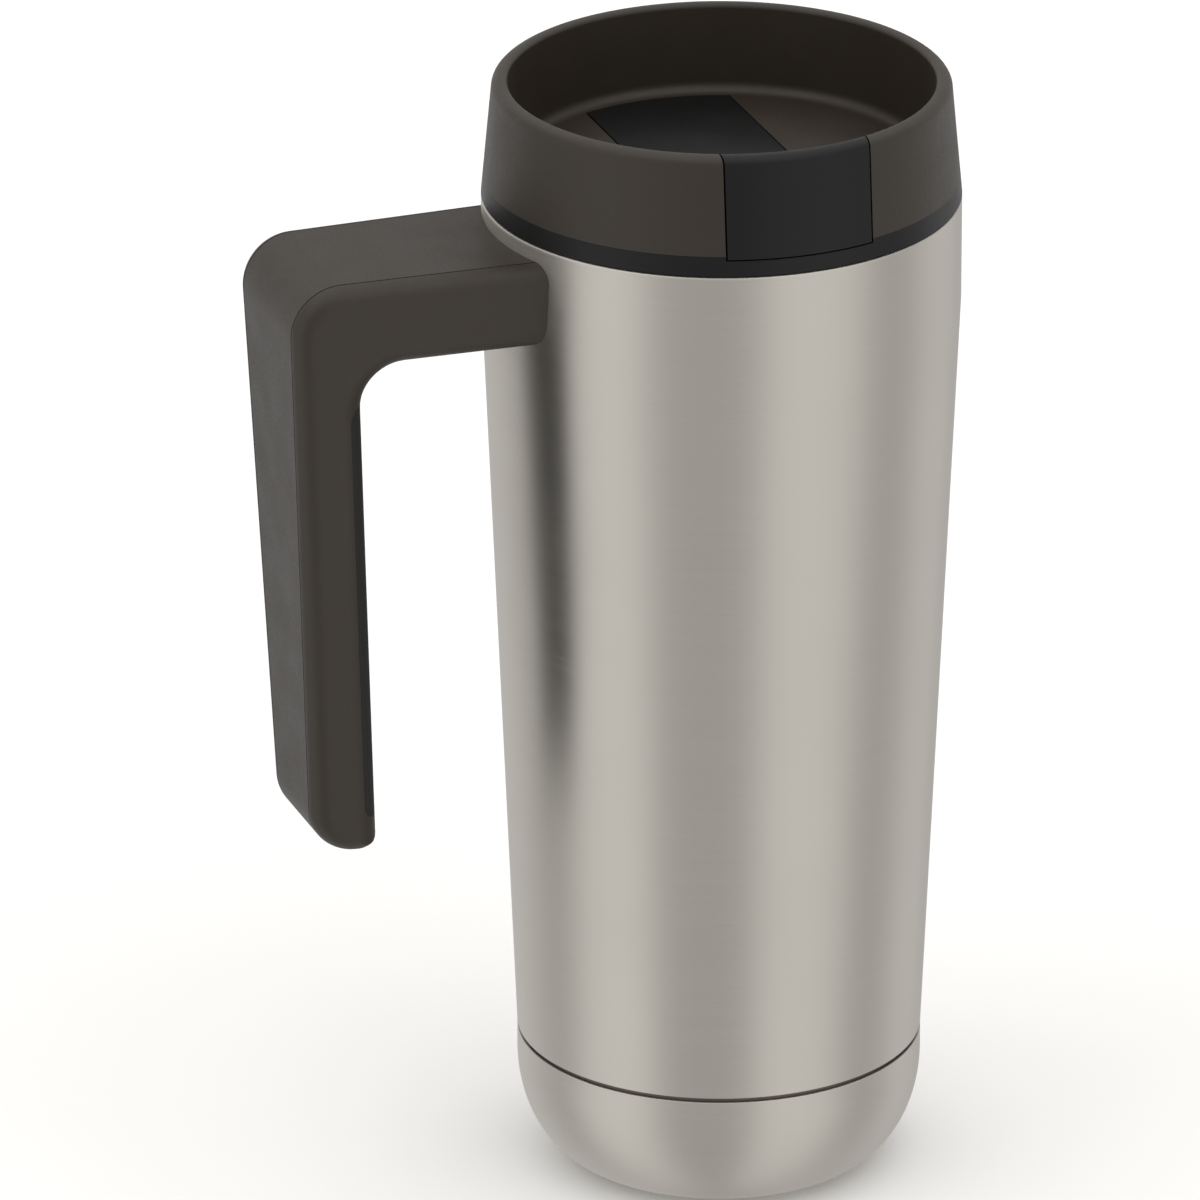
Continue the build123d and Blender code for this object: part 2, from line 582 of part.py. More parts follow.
def make_flip_lever():
    """Lever from the hinge to the drinking side, where it hooks over the sip wall."""
    half = LEVER_WIDTH / 2
    points = [
        (RING_INNER_RADIUS, PANEL_FOOT_Z),
        (lid_radius_at(PANEL_FOOT_Z), PANEL_FOOT_Z),
        (RING_TOP_RADIUS, LID_TOP_Z),
        (RING_INNER_RADIUS, LID_TOP_Z),
    ]
    radii = [0, 0, RIM_OUTER_ROUND, RIM_INNER_ROUND]
    rim = revolve(Plane.XZ * make_face(FilletPolyline(*points, radius=radii, close=True)), Axis.Z)
    hook_z = sip_wall_top() + SIP_CLEARANCE
    below_z = PANEL_FOOT_Z - OVERCUT
    rim -= turned(
        [
            (RING_INNER_RADIUS - OVERCUT, below_z),
            (lid_radius_at(below_z) - PANEL_THICKNESS, below_z),
            (lid_radius_at(hook_z) - PANEL_THICKNESS, hook_z),
            (RING_INNER_RADIUS - OVERCUT, hook_z),
        ]
    )
    rim &= slot_block(half, -REACH, HINGE_Y, DECK_TOP_Z, LID_TOP_Z)
    lever = rim + make_lever_arm(half) - hinge_rod(PIN_RADIUS + PIN_CLEARANCE, half)
    return lever - drink_hole(SEAL_FLANGE, DECK_TOP_Z, SEAL_TOP_Z)


def make_lever_arm(half):
    """Flat arm, ramp up to the rim, knuckle and the boss for the spout seal."""
    under_z = FLOOR_TOP_Z - ARM_THICKNESS
    slope = ramp_slope()
    drop = ramp_depth()
    end_y = PANEL_THICKNESS - lid_radius_at(RAMP_TOP_Z)
    end_z = FLOOR_TOP_Z + slope * (RAMP_START_Y - end_y)
    bend_y = RAMP_START_Y - (drop - ARM_THICKNESS) / slope
    side = Polyline(
        (HINGE_Y, FLOOR_TOP_Z),
        (RAMP_START_Y, FLOOR_TOP_Z),
        (end_y, end_z),
        (end_y, end_z - drop),
        (bend_y, under_z),
        (HINGE_Y, under_z),
        close=True,
    )
    above = Polyline(
        (0, FLOOR_TOP_Z),
        (RAMP_START_Y, FLOOR_TOP_Z),
        (end_y, end_z),
        (end_y, LID_TOP_Z + OVERCUT),
        (0, LID_TOP_Z + OVERCUT),
        close=True,
    )
    within_panel = turned(
        [
            (0, under_z),
            (lid_radius_at(under_z) - PANEL_THICKNESS / 2, under_z),
            (lid_radius_at(LID_TOP_Z) - PANEL_THICKNESS / 2, LID_TOP_Z),
            (0, LID_TOP_Z),
        ]
    )
    arm = extrude(Plane.YZ * make_face(side), half, both=True) & within_panel
    arm += hinge_rod(KNUCKLE_RADIUS, half)
    boss = drink_hole(-SEAL_STEM, SEAL_TOP_Z, RAMP_TOP_Z)
    return arm + (boss - extrude(Plane.YZ * make_face(above), half, both=True))


def make_spout_seal():
    """Silicone stopper under the lever that closes the drink hole."""
    flange_bottom = DECK_TOP_Z + SEAL_CLEARANCE
    seal = drink_hole(SEAL_FLANGE, flange_bottom, SEAL_TOP_Z)
    return seal + drink_hole(-SEAL_CLEARANCE, flange_bottom - SEAL_DEPTH, flange_bottom)


def make_vent_seal():
    """Small silicone dome under the lever that closes the vent."""
    under_z = FLOOR_TOP_Z - ARM_THICKNESS
    return vent_hole(VENT_RADIUS - SEAL_CLEARANCE, DECK_TOP_Z - SEAL_DEPTH, under_z)


def make_lever_pin():
    """Steel pin that the lever turns on."""
    return hinge_rod(PIN_RADIUS, PIN_HALF_LENGTH)


# ---------------------------------------------------------------- handle


def grip_x(z, depth=0.0):
    """X of the grip's outer face at a height, or of a plane a depth inside it."""
    lean = radians(GRIP_LEAN)
    return -BODY_RADIUS - GRIP_REACH + (GRIP_REFERENCE_Z - z) * tan(lean) + depth / cos(lean)


def handle_outline():
    """Side view of the whole handle, from inside the mug's wall to the tip."""
    root_x = -BODY_RADIUS + 2 * HANDLE_WALL + SHOULDER
    points = [
        (root_x, ARM_TOP_Z),
        (grip_x(ARM_TOP_Z), ARM_TOP_Z),
        (grip_x(TIP_Z), TIP_Z),
        (grip_x(TIP_Z, GRIP_THICKNESS), TIP_Z),
        (grip_x(ARM_UNDERSIDE_Z, GRIP_THICKNESS), ARM_UNDERSIDE_Z),
        (root_x, ARM_UNDERSIDE_Z),
    ]
    radii = [0, OUTER_BEND_RADIUS, TIP_HEEL_RADIUS, TIP_TOE_RADIUS, INNER_BEND_RADIUS, 0]
    return make_face(FilletPolyline(*points, radius=radii, close=True))


def inner_outline():
    """Side view that shares the handle's inner boundary and runs far past the rest."""
    root_x = -BODY_RADIUS + 2 * HANDLE_WALL + SHOULDER
    far_x = grip_x(TIP_Z) - GRIP_LENGTH
    low_z = TIP_Z - GRIP_THICKNESS
    high_z = ARM_TOP_Z + GRIP_THICKNESS
    points = [
        (root_x, high_z),
        (far_x, high_z),
        (far_x, low_z),
        (grip_x(low_z, GRIP_THICKNESS), low_z),
        (grip_x(ARM_UNDERSIDE_Z, GRIP_THICKNESS), ARM_UNDERSIDE_Z),
        (root_x, ARM_UNDERSIDE_Z),
    ]
    radii = [0, 0, 0, 0, INNER_BEND_RADIUS, 0]
    return make_face(FilletPolyline(*points, radius=radii, close=True))


def between_sides(face, inset):
    """Solid of a side view between the handle's two sloping sides, inset from them."""
    solid = extrude(Plane.XZ * face, BODY_RADIUS, both=True)
    for side in (-1, 1):
        normal = (-WIDTH_GROWTH_INWARD, side, -WIDTH_GROWTH_UPWARD)
        plane = Plane(
            origin=(grip_x(GRIP_REFERENCE_Z), side * (HANDLE_HALF_WIDTH - inset), GRIP_REFERENCE_Z),
            z_dir=normal,
        )
        solid = split(solid, bisect_by=plane, keep=Keep.BOTTOM)
    return solid


def mug_wall():
    """Cylinder of the mug's outside where the handle meets it."""
    return disc(BODY_RADIUS, 0, LIP_Z)


def cover_outline(thickness):
    """Side view of the strip over the arm's top and the grip's outer face."""
    core = offset(handle_outline(), amount=-thickness)
    toe_x = grip_x(TIP_Z, GRIP_THICKNESS - COVER_TOE)
    inner_side = make_face(
        Polyline(
            (0, ARM_TOP_Z - thickness),
            (grip_x(ARM_TOP_Z, GRIP_THICKNESS / 2), ARM_TOP_Z - thickness),
            (toe_x, TIP_Z + GRIP_THICKNESS / 2),
            (toe_x, TIP_Z - OVERCUT),
            (0, TIP_Z - OVERCUT),
            close=True,
        )
    )
    return handle_outline() - core - inner_side


def channel_outline():
    """Side view of the hollow inside the handle, under the cover."""
    core = offset(handle_outline(), amount=-HANDLE_WALL)
    root = make_face(
        Polyline(
            (0, HOLLOW_BOTTOM_Z),
            (0, HOLLOW_TOP_Z),
            (grip_x(ARM_TOP_Z, GRIP_THICKNESS), HOLLOW_TOP_Z),
            (grip_x(ARM_TOP_Z, GRIP_THICKNESS), HOLLOW_BOTTOM_Z),
            close=True,
        )
    )
    pad_back = GRIP_THICKNESS - PAD_SINK - HANDLE_WALL
    behind_pad = make_face(
        Polyline(
            (grip_x(ARM_UNDERSIDE_Z, pad_back), ARM_UNDERSIDE_Z),
            (0, ARM_UNDERSIDE_Z),
            (0, TIP_Z),
            (grip_x(TIP_Z, pad_back), TIP_Z),
            close=True,
        )
    )
    return core + root - behind_pad


def pad_slab(slack=0.0):
    """Full-width slab that the grip pad is cut from, or its pocket with some slack."""
    high = PAD_TOP_Z + slack
    low = PAD_BOTTOM_Z - slack
    back = GRIP_THICKNESS - PAD_SINK - slack
    outline = FilletPolyline(
        (grip_x(high, back), high),
        (grip_x(high, GRIP_THICKNESS + OVERCUT), high),
        (grip_x(low, GRIP_THICKNESS + OVERCUT), low),
        (grip_x(low, back), low),
        radius=[PAD_CORNER + slack, 0, 0, PAD_CORNER + slack],
        close=True,
    )
    return extrude(Plane.XZ * make_face(outline), BODY_RADIUS, both=True)


def side_rims(solid, wanted):
    """Edges of the handle's two sides whose bounding box is a wanted one."""
    sides = solid.faces().sort_by(Axis.Y)
    rims = [edge for face in (sides[0], sides[-1]) for edge in face.edges()]
    return [edge for edge in rims if wanted(edge.bounding_box())]


def handle_envelope():
    """The handle as one rounded solid, before it is divided."""
    root = -BODY_RADIUS + HANDLE_WALL
    outer = between_sides(handle_outline(), 0)
    outer = fillet(side_rims(outer, lambda box: box.min.X < root), SHOULDER)
    inner = between_sides(inner_outline(), 0)
    inner_rims = side_rims(
        inner, lambda box: TIP_Z < box.max.Z < (ARM_UNDERSIDE_Z + ARM_TOP_Z) / 2
    )
    inner = fillet(inner_rims, INNER_ROUNDING)
    return (outer & inner) - mug_wall()


def half_width_at(x, z):
    """Half width of the handle at a place in its side view."""
    inward = (x - grip_x(GRIP_REFERENCE_Z)) * WIDTH_GROWTH_INWARD
    return HANDLE_HALF_WIDTH + inward + (z - GRIP_REFERENCE_Z) * WIDTH_GROWTH_UPWARD


def bracket_half_width():
    """Half width of the bracket, inside the arm's hollow at the web."""
    hollow = half_width_at(BRACKET_X, HOLLOW_BOTTOM_Z) - SHOULDER - COVER_LEDGE
    return hollow - BRACKET_SIDE_PLAY


def screw_axes():
    """Side offsets of the two screws, with each nut just inside the bracket."""
    offset_y = bracket_half_width() - BRACKET_THICKNESS - NUT_SIDE_PLAY - NUT_SIZE / 2
    return [-offset_y, offset_y]


def arm_rod(y, radius, x_low, x_high):
    """Rod along X through the arm."""
    middle = ((x_low + x_high) / 2, y, HOLLOW_MIDDLE_Z)
    return Pos(*middle) * Rot(0, 90, 0) * Cylinder(radius, x_high - x_low)


def make_handle_frame():
    """Channel-shaped core of the handle with the web that the screws clamp."""
    frame = handle_envelope()
    frame -= between_sides(cover_outline(COVER_THICKNESS), SHOULDER - SEAM_GAP)
    channel = between_sides(channel_outline(), SHOULDER + COVER_LEDGE)
    web = channel & block(
        (WEB_X, -BODY_RADIUS, ARM_UNDERSIDE_Z),
        (BRACKET_X, BODY_RADIUS, ARM_TOP_Z),
    )
    frame = frame - channel + web
    for y in screw_axes():
        frame -= arm_rod(y, SCREW_RADIUS + SCREW_CLEARANCE, WEB_X - OVERCUT, BRACKET_X + OVERCUT)
    return frame - pad_slab(PAD_FIT)


def make_handle_cover():
    """Strip over the top of the arm and down the outside of the grip."""
    return between_sides(cover_outline(COVER_THICKNESS), SHOULDER) - mug_wall()


def make_grip_pad():
    """Soft pad let in flush on the inner face of the grip, rounded with its sides."""
    return handle_envelope() & pad_slab()


def make_handle_bracket():
    """Steel channel welded to the mug's wall inside the arm."""
    low = HOLLOW_BOTTOM_Z + BRACKET_PLAY
    high = HOLLOW_TOP_Z - BRACKET_PLAY
    half = bracket_half_width()
    nut_x = BRACKET_X + BRACKET_THICKNESS
    inner_half = half - BRACKET_THICKNESS
    bracket = block((BRACKET_X, -half, low), (0, half, high))
    bracket -= block((nut_x, -inner_half, low), (0, inner_half, high))
    bracket -= mug_wall()
    for y in screw_axes():
        bracket -= arm_rod(y, SCREW_RADIUS, BRACKET_X, nut_x)
    return bracket


def make_weld_nuts():
    """Two square nuts welded behind the bracket's face."""
    near_x = BRACKET_X + BRACKET_THICKNESS
    far_x = near_x + NUT_THICKNESS
    half = NUT_SIZE / 2
    z = HOLLOW_MIDDLE_Z
    nuts = []
    for y in screw_axes():
        nut = block((near_x, y - half, z - half), (far_x, y + half, z + half))
        nuts.append(nut - arm_rod(y, SCREW_RADIUS, near_x, far_x))
    return Compound(children=nuts)


def make_handle_screws():
    """Two pan-head screws driven along the arm into the weld nuts."""
    screws = []
    for y in screw_axes():
        screw = arm_rod(y, SCREW_RADIUS, WEB_X, WEB_X + SCREW_LENGTH)
        screw += arm_rod(y, SCREW_HEAD_RADIUS, WEB_X - SCREW_HEAD_HEIGHT, WEB_X)
        screws.append(screw)
    return Compound(children=screws)


MAKERS = {
    "outer_shell": make_outer_shell,
    "inner_vessel": make_inner_vessel,
    "base_shell": make_base_shell,
    "vacuum_base": make_vacuum_base,
    "evacuation_plug": make_evacuation_plug,
    "reflective_foil": make_reflective_foil,
    "getter_clip": make_getter_clip,
    "getter_pellet": make_getter_pellet,
    "lid_body": make_lid_body,
    "lid_ring": make_lid_ring,
    "lid_liner": make_lid_liner,
    "lid_gasket": make_lid_gasket,
    "flip_lever": make_flip_lever,
    "lever_pin": make_lever_pin,
    "spout_seal": make_spout_seal,
    "vent_seal": make_vent_seal,
    "handle_frame": make_handle_frame,
    "handle_cover": make_handle_cover,
    "grip_pad": make_grip_pad,
    "handle_bracket": make_handle_bracket,
    "weld_nuts": make_weld_nuts,
    "handle_screws": make_handle_screws,
}

os.makedirs("parts", exist_ok=True)
for node, make in MAKERS.items():
    export(make(), node)
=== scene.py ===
"""Looks of an insulated travel mug: steel body, screw-on lid with a flip lever, open handle.

Metres, +Z up, the handle toward -X and the drinking side of the lid toward -Y.
"""

import logging
import math
from dataclasses import dataclass, field
from enum import Enum
from typing import ClassVar

import bmesh
import bpy
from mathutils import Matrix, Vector


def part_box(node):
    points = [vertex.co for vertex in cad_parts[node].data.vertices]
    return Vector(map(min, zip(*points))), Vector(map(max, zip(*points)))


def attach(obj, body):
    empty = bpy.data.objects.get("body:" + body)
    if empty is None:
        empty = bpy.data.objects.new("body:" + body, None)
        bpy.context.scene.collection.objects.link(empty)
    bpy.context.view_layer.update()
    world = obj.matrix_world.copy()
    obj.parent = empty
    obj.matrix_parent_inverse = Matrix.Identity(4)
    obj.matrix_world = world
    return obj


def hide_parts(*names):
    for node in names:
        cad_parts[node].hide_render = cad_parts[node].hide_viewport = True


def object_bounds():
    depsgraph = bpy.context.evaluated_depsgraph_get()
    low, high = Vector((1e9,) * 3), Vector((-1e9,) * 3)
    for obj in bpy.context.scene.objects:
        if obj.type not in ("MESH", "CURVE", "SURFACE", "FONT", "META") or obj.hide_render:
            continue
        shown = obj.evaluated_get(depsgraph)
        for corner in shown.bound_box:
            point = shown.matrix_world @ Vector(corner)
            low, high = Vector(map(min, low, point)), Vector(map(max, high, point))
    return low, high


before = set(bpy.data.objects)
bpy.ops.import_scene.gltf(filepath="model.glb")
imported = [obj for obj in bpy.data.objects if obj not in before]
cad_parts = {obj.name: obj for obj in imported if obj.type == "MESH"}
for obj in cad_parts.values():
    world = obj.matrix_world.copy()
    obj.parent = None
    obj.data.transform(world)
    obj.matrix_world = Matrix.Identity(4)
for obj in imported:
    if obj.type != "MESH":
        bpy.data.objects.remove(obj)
CAD_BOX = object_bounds()

MM = 0.001
SHARP_ANGLE = math.radians(40)
PATTERN_RANGE = (0.3, 0.7)  # where nearly all of a soft random pattern lies
LEVEL = (1, 1, 0)  # keeps the level part of a direction
LOG = logging.getLogger("mug")
BODY_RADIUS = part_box("outer_shell")[1].x / MM

Socket = bpy.types.NodeSocket
Tree = bpy.types.NodeTree
Outline = list[tuple[float, float]]


# ---------------------------------------------------------------- node and colour helpers


def linear(hex_colour: str) -> tuple[float, float, float, float]:
    """Turn an sRGB hex colour into linear RGBA.

    Args:
        hex_colour: six hex digits, red first.

    Returns:
        The linear colour with full alpha.
    """
    channels = [int(hex_colour[i : i + 2], 16) / 255 for i in (0, 2, 4)]
    return (*[c / 12.92 if c <= 0.04045 else ((c + 0.055) / 1.055) ** 2.4 for c in channels], 1.0)


def add_node(tree: Tree, kind: str, inputs: dict | None = None, **settings: object) -> bpy.types.Node:
    """Add a node with its settings, values and links.

    Args:
        tree: the node tree.
        kind: the node's type without the leading "ShaderNode".
        inputs: a value, or the output socket to link, for each input by name or number.
        settings: the node's own options.

    Returns:
        The new node.
    """
    node = tree.nodes.new("ShaderNode" + kind)
    for option, value in settings.items():
        setattr(node, option, value)
    for key, value in (inputs or {}).items():
        if isinstance(value, bpy.types.NodeSocket):
            tree.links.new(value, node.inputs[key])
        else:
            node.inputs[key].default_value = value
    return node


# ---------------------------------------------------------------- texture helpers

# A number in place of an input's or output's name is its place among that node's sockets.


def millimetres(tree: Tree) -> Socket:
    """Give each point's place in the mug's frame, in millimetres."""
    place = add_node(tree, "TexCoord").outputs["Object"]
    return add_node(tree, "VectorMath", {0: place, "Scale": 1 / MM}, operation="SCALE").outputs[0]


def grain_place(tree: Tree, length: float, pitch: float) -> Socket:
    """Stretch the texture space round the mug's axis.

    Args:
        tree: the node tree.
        length: length of a streak round the mug, in millimetres.
        pitch: height of a streak, in millimetres.

    Returns:
        A vector in which one unit is one streak.
    """
    place = millimetres(tree)
    flat = add_node(tree, "VectorMath", {0: place, 1: LEVEL}, operation="MULTIPLY").outputs[0]
    heading = add_node(tree, "VectorMath", {0: flat}, operation="NORMALIZE").outputs[0]
    turns = BODY_RADIUS / length
    rise = add_node(tree, "VectorMath", {0: place, 1: (0, 0, 1 / pitch)}, operation="MULTIPLY").outputs[0]
    round_axis = {0: heading, 1: (turns, turns, 0), 2: rise}
    return add_node(tree, "VectorMath", round_axis, operation="MULTIPLY_ADD").outputs[0]


def tinted(tree: Tree, value: Socket, colour: str, change: float) -> Socket:
    """Darken and lighten a colour with a pattern.

    Args:
        tree: the node tree.
        value: the pattern.
        colour: sRGB hex of the mean colour.
        change: largest relative change either way.

    Returns:
        The varied colour.
    """
    base = linear(colour)
    dark, light = ((*[c * k for c in base[:3]], 1.0) for k in (1 - change, 1 + change))
    bottom, top = PATTERN_RANGE
    share = add_node(tree, "MapRange", {0: value, 1: bottom, 2: top}).outputs[0]
    return add_node(tree, "Mix", {0: share, 6: dark, 7: light}, data_type="RGBA").outputs[2]


# ---------------------------------------------------------------- finishes


class Slot(Enum):
    """The finishes named on the CAD nodes, and one more with painted shade for the bottom of the groove.
    """

    SATIN_STEEL = "satin_steel"
    # painted shade for the bottom of the groove
    GROOVE_SHADE_STEEL = "tinted_steel"
    DRAWN_STEEL = "drawn_steel"
    SHEET_STEEL = "sheet_steel"
    ZINC_STEEL = "zinc_steel"
    COPPER_FOIL = "copper_foil"
    GETTER_METAL = "getter_metal"
    BROWN_PLASTIC = "brown_plastic"
    BLACK_PLASTIC = "black_plastic"
    CLEAR_SILICONE = "clear_silicone"
    PAD_RUBBER = "pad_rubber"


@dataclass(frozen=True)
class Finish:
    """A material and how it was made."""

    name: str
    colour: str
    roughness: float

    def material(self) -> bpy.types.Material:
        """Build the node material.

        Returns:
            The new material.
        """
        made = bpy.data.materials.new(self.name)
        made.use_nodes = True
        made.node_tree.nodes.clear()
        shader = add_node(made.node_tree, "BsdfPrincipled", self.surface(made.node_tree))
        add_node(made.node_tree, "OutputMaterial", {"Surface": shader.outputs[0]})
        return made

    def gloss(self, tree: Tree, *patterns: tuple[Socket, float]) -> Socket:
        """Let patterns move the roughness either way.

        Args:
            tree: the material's node tree.
            patterns: each pattern, with the largest change that it makes.

        Returns:
            The roughness.
        """
        bottom, top = PATTERN_RANGE
        total = self.roughness
        for pattern, change in patterns:
            reach = {0: pattern, 1: bottom, 2: top, 3: -change, 4: change}
            moved = add_node(tree, "MapRange", reach).outputs[0]
            total = add_node(tree, "Math", {0: moved, 1: total}, operation="ADD").outputs[0]
        return total

    def surface(self, tree: Tree) -> dict:
        """Give the shader's inputs; each kind of finish has its own."""
        raise NotImplementedError


@dataclass(frozen=True)
class TurnedSteel(Finish):
    """Stainless steel polished or drawn on a lathe, with a grain round the mug."""

    anisotropy: float
    streak_length: float
    streak_pitch: float
    contrast: float
    streak_depth: float = 0.0012
    gloss_change: float = 0.03
    patch_size: float = 30.0
    patch_change: float = 0.015
    across_grain: float = 0.25  # of a turn, from the tangent to the way that glints stretch

    def surface(self, tree: Tree) -> dict:
        """Fine streaks in colour, gloss and relief over broad faint handling marks.

        Args:
            tree: the material's node tree.

        Returns:
            A value or socket for each input of the shader.
        """
        grain = grain_place(tree, self.streak_length, self.streak_pitch)
        streaks = add_node(tree, "TexNoise", {"Vector": grain, "Scale": 1.0, "Detail": 3.0}).outputs[0]
        broad = {"Vector": millimetres(tree), "Scale": 1 / self.patch_size}
        patches = add_node(tree, "TexNoise", broad).outputs[0]
        bump = {"Height": streaks, "Distance": self.streak_depth * MM}
        return {
            "Base Color": tinted(tree, streaks, self.colour, self.contrast),
            "Metallic": 1.0,
            "Roughness": self.gloss(tree, (streaks, self.gloss_change), (patches, self.patch_change)),
            "Anisotropic": self.anisotropy,
            "Anisotropic Rotation": self.across_grain,
            "Tangent": add_node(tree, "Tangent", direction_type="RADIAL", axis="Z").outputs[0],
            "Normal": add_node(tree, "Bump", bump).outputs[0],
        }


@dataclass(frozen=True)
class RolledMetal(Finish):
    """Sheet metal with the long dull marks of the rolls."""

    roll_length: float = 14.0
    roll_pitch: float = 0.5
    mark_depth: float = 0.002
    change: float = 0.05  # of colour and roughness
    crease_size: float = 6.0
    crumple: float = 0.0  # depth of the creases, in depths of a roll mark

    def surface(self, tree: Tree) -> dict:
        """Roll marks along the sheet; foil is crumpled as well.

        Args:
            tree: the material's node tree.

        Returns:
            A value or socket for each input of the shader.
        """
        place = millimetres(tree)
        along = (1 / self.roll_length, 1 / self.roll_pitch, 1 / self.roll_length)
        rolled = add_node(tree, "VectorMath", {0: place, 1: along}, operation="MULTIPLY").outputs[0]
        marks = add_node(tree, "TexNoise", {"Vector": rolled, "Scale": 1.0, "Detail": 3.0}).outputs[0]
        creases = add_node(tree, "TexVoronoi", {"Vector": place, "Scale": 1 / self.crease_size}).outputs[0]
        crumpled = {0: creases, 1: self.crumple, 2: marks}
        height = add_node(tree, "Math", crumpled, operation="MULTIPLY_ADD").outputs[0]
        bump = {"Height": height, "Distance": self.mark_depth * MM}
        return {
            "Base Color": tinted(tree, marks, self.colour, self.change),
            "Metallic": 1.0,
            "Roughness": self.gloss(tree, (marks, self.change)),
            "Normal": add_node(tree, "Bump", bump).outputs[0],
        }


@dataclass(frozen=True)
class PlatedSteel(Finish):
    """Steel with a thin zinc coat in pale crystals."""

    crystal: float
    crystal_depth: float = 0.002
    contrast: float = 0.08
    gloss_change: float = 0.06

    def surface(self, tree: Tree) -> dict:
        """Small facets, each with its own shade and gloss.

        Args:
            tree: the material's node tree.

        Returns:
            A value or socket for each input of the shader.
        """
        cells = add_node(tree, "TexVoronoi", {"Vector": millimetres(tree), "Scale": 1 / self.crystal})
        shade = add_node(tree, "SeparateColor", {0: cells.outputs["Color"]}).outputs[0]
        bump = {"Height": cells.outputs["Distance"], "Distance": self.crystal_depth * MM}
        return {
            "Base Color": tinted(tree, shade, self.colour, self.contrast),
            "Metallic": 1.0,
            "Roughness": self.gloss(tree, (shade, self.gloss_change)),
            "Normal": add_node(tree, "Bump", bump).outputs[0],
        }


@dataclass(frozen=True)
class PressedPowder(Finish):
    """Metal powder pressed into a pill."""

    grain_size: float = 0.35
    pore_depth: float = 0.06
    contrast: float = 0.35
    gloss_change: float = 0.1
    metallic: float = 0.8

    def surface(self, tree: Tree) -> dict:
        """Coarse grains with dark pores between them.

        Args:
            tree: the material's node tree.

        Returns:
            A value or socket for each input of the shader.
        """
        packed = {"Vector": millimetres(tree), "Scale": 1 / self.grain_size, "Detail": 4.0}
        grains = add_node(tree, "TexNoise", packed).outputs[0]
        bump = {"Height": grains, "Distance": self.pore_depth * MM}
        return {
            "Base Color": tinted(tree, grains, self.colour, self.contrast),
            "Metallic": self.metallic,
            "Roughness": self.gloss(tree, (grains, self.gloss_change)),
            "Normal": add_node(tree, "Bump", bump).outputs[0],
        }


@dataclass(frozen=True)
class Moulded(Finish):
    """Moulded plastic or rubber with the fine etched grain of its mould."""

    ior: float
    grain_size: float
    grain_depth: float
    mottle: float = 0.05
    specular: float = 0.5
    transmission: float = 0.0
    flow_size: float = 9.0
    flow_gloss: float = 0.03
    grain_gloss: float = 0.04

    def surface(self, tree: Tree) -> dict:
        """Etched grain in relief, slow changes of gloss and faint flow marks.

        Args:
            tree: the material's node tree.

        Returns:
            A value or socket for each input of the shader.
        """
        place = millimetres(tree)
        fine = {"Vector": place, "Scale": 1 / self.grain_size, "Detail": 3.0}
        etched = add_node(tree, "TexNoise", fine).outputs[0]
        flow = add_node(tree, "TexNoise", {"Vector": place, "Scale": 1 / self.flow_size}).outputs[0]
        bump = {"Height": etched, "Distance": self.grain_depth * MM}
        return {
            "Base Color": tinted(tree, flow, self.colour, self.mottle),
            "Roughness": self.gloss(tree, (flow, self.flow_gloss), (etched, self.grain_gloss)),
            "IOR": self.ior,
            "Specular IOR Level": self.specular,
            "Transmission Weight": self.transmission,
            "Normal": add_node(tree, "Bump", bump).outputs[0],
        }


